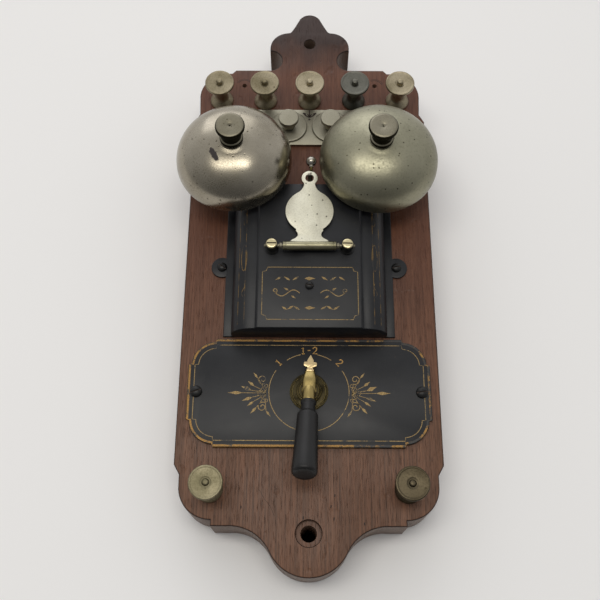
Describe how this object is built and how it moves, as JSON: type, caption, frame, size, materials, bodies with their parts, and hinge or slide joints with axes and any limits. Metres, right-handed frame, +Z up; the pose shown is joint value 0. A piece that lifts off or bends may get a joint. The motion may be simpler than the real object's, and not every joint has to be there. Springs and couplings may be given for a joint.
{
  "type": "wall telephone bell and line switch set",
  "caption": "Wall-mounted telephone bell set: shaped wooden board with twin gongs, lightning arrester, drop indicator, line selector lever and binding posts.",
  "frame": {"origin": "centre of the backboard's back face, on its line of symmetry, half way up its whole height", "axes": "+Z up along the board, +Y into the wall, -Y out of the front, +X to the viewer's right"},
  "size_m": [0.1594, 0.09, 0.3722],
  "materials": {
    "walnut": "oiled, worn",
    "nickel_plate": "nickel plated, aged olive grey",
    "pale_nickel": "nickel plated, satin",
    "black_japan": "stoved black japan with gilt lines",
    "hinge_steel": "plain turned",
    "brass": "aged satin",
    "steel_spindle": "turned",
    "ebonite": "polished hard rubber, worn satin",
    "soft_iron": "bare iron",
    "coil_winding": "silk covered copper winding"
  },
  "bodies": {
    "board": {"armature_pivot": "brass", "arrester_disc_left": "nickel_plate", "arrester_disc_right": "nickel_plate", "arrester_plate": "pale_nickel", "backboard": "walnut", "bell_coil_left": "coil_winding", "bell_coil_right": "coil_winding", "bell_frame": "soft_iron", "bell_magnet": "soft_iron", "bell_yoke": "soft_iron", "contact_line_both": "brass", "contact_line_one": "brass", "contact_line_two": "brass", "cover_centre_screw": "black_japan", "cover_screw_left": "black_japan", "cover_screw_right": "black_japan", "dial_plate": "black_japan", "dial_plate_screw_left": "black_japan", "dial_plate_screw_right": "black_japan", "drop_bracket": "soft_iron", "drop_coil": "coil_winding", "gong_left": "nickel_plate", "gong_nut_left": "nickel_plate", "gong_nut_right": "nickel_plate", "gong_post_left": "nickel_plate", "gong_post_right": "nickel_plate", "gong_right": "nickel_plate", "instrument_cover": "black_japan", "latch_pin": "brass", "selector_boss": "brass", "shutter_hinge_pin": "hinge_steel", "shutter_lug_left": "black_japan", "shutter_lug_right": "black_japan", "shutter_lug_screw_left": "hinge_steel", "shutter_lug_screw_right": "hinge_steel", "terminal_post_foot_left": "nickel_plate", "terminal_post_foot_right": "nickel_plate", "terminal_post_top_centre": "nickel_plate", "terminal_post_top_far_left": "nickel_plate", "terminal_post_top_far_right": "nickel_plate", "terminal_post_top_left": "nickel_plate", "terminal_post_top_right": "nickel_plate"},
    "selector": {"selector_spindle": "steel_spindle", "selector_pointer": "brass", "selector_handle": "ebonite", "selector_wiper": "brass"},
    "clapper": {"bell_armature": "soft_iron", "clapper_rod": "brass", "clapper_ball": "nickel_plate"},
    "shutter": {"drop_shutter": "pale_nickel"},
    "latch": {"drop_latch": "hinge_steel"},
    "thumb_nut_top_far_left": {"terminal_nut_top_far_left": "nickel_plate"},
    "thumb_nut_top_left": {"terminal_nut_top_left": "nickel_plate"},
    "thumb_nut_top_centre": {"terminal_nut_top_centre": "nickel_plate"},
    "thumb_nut_top_right": {"terminal_nut_top_right": "nickel_plate"},
    "thumb_nut_top_far_right": {"terminal_nut_top_far_right": "nickel_plate"},
    "thumb_nut_foot_left": {"terminal_nut_foot_left": "nickel_plate"},
    "thumb_nut_foot_right": {"terminal_nut_foot_right": "nickel_plate"},
    "arrester_clamp_left": {"arrester_knob_left": "pale_nickel"},
    "arrester_clamp_right": {"arrester_knob_right": "pale_nickel"}
  },
  "joints": [
    {"name": "selector_turn", "type": "hinge", "parent": "board", "child": "selector", "pos_m": [0, -0.03, -0.085], "axis": [0, -1, 0], "range_deg": [-45, 45]},
    {"name": "shutter_drop", "type": "hinge", "parent": "board", "child": "shutter", "pos_m": [0, -0.0515, -0.002], "axis": [1, 0, 0], "range_deg": [0, 180]},
    {"name": "clapper_swing", "type": "hinge", "parent": "board", "child": "clapper", "pos_m": [0, -0.03, -0.0107], "axis": [0, 1, 0], "range_deg": [-7.1, 1.3], "stiffness_Nm_per_rad": 0.004},
    {"name": "latch_release", "type": "hinge", "parent": "board", "child": "latch", "pos_m": [0, -0.041, 0.036], "axis": [1, 0, 0], "range_deg": [0, 8], "stiffness_Nm_per_rad": 0.004, "springref_deg": -11.46},
    {"name": "nut_turn_top_far_left", "type": "hinge", "parent": "board", "child": "thumb_nut_top_far_left", "pos_m": [-0.0578, -0.03, 0.1146], "axis": [0, -1, 0], "range_deg": [0, 720]},
    {"name": "nut_turn_top_left", "type": "hinge", "parent": "board", "child": "thumb_nut_top_left", "pos_m": [-0.0289, -0.03, 0.1146], "axis": [0, -1, 0], "range_deg": [0, 720]},
    {"name": "nut_turn_top_centre", "type": "hinge", "parent": "board", "child": "thumb_nut_top_centre", "pos_m": [0, -0.03, 0.1146], "axis": [0, -1, 0], "range_deg": [0, 720]},
    {"name": "nut_turn_top_right", "type": "hinge", "parent": "board", "child": "thumb_nut_top_right", "pos_m": [0.0289, -0.03, 0.1146], "axis": [0, -1, 0], "range_deg": [0, 720]},
    {"name": "nut_turn_top_far_right", "type": "hinge", "parent": "board", "child": "thumb_nut_top_far_right", "pos_m": [0.0578, -0.03, 0.1146], "axis": [0, -1, 0], "range_deg": [0, 720]},
    {"name": "nut_turn_foot_left", "type": "hinge", "parent": "board", "child": "thumb_nut_foot_left", "pos_m": [-0.0545, -0.03, -0.1398], "axis": [0, -1, 0], "range_deg": [0, 720]},
    {"name": "nut_turn_foot_right", "type": "hinge", "parent": "board", "child": "thumb_nut_foot_right", "pos_m": [0.0545, -0.03, -0.1398], "axis": [0, -1, 0], "range_deg": [0, 720]},
    {"name": "knob_turn_left", "type": "hinge", "parent": "board", "child": "arrester_clamp_left", "pos_m": [-0.0134, -0.03, 0.09285], "axis": [0, -1, 0], "range_deg": [0, 720]},
    {"name": "knob_turn_right", "type": "hinge", "parent": "board", "child": "arrester_clamp_right", "pos_m": [0.0134, -0.03, 0.09285], "axis": [0, -1, 0], "range_deg": [0, 720]}
  ]
}
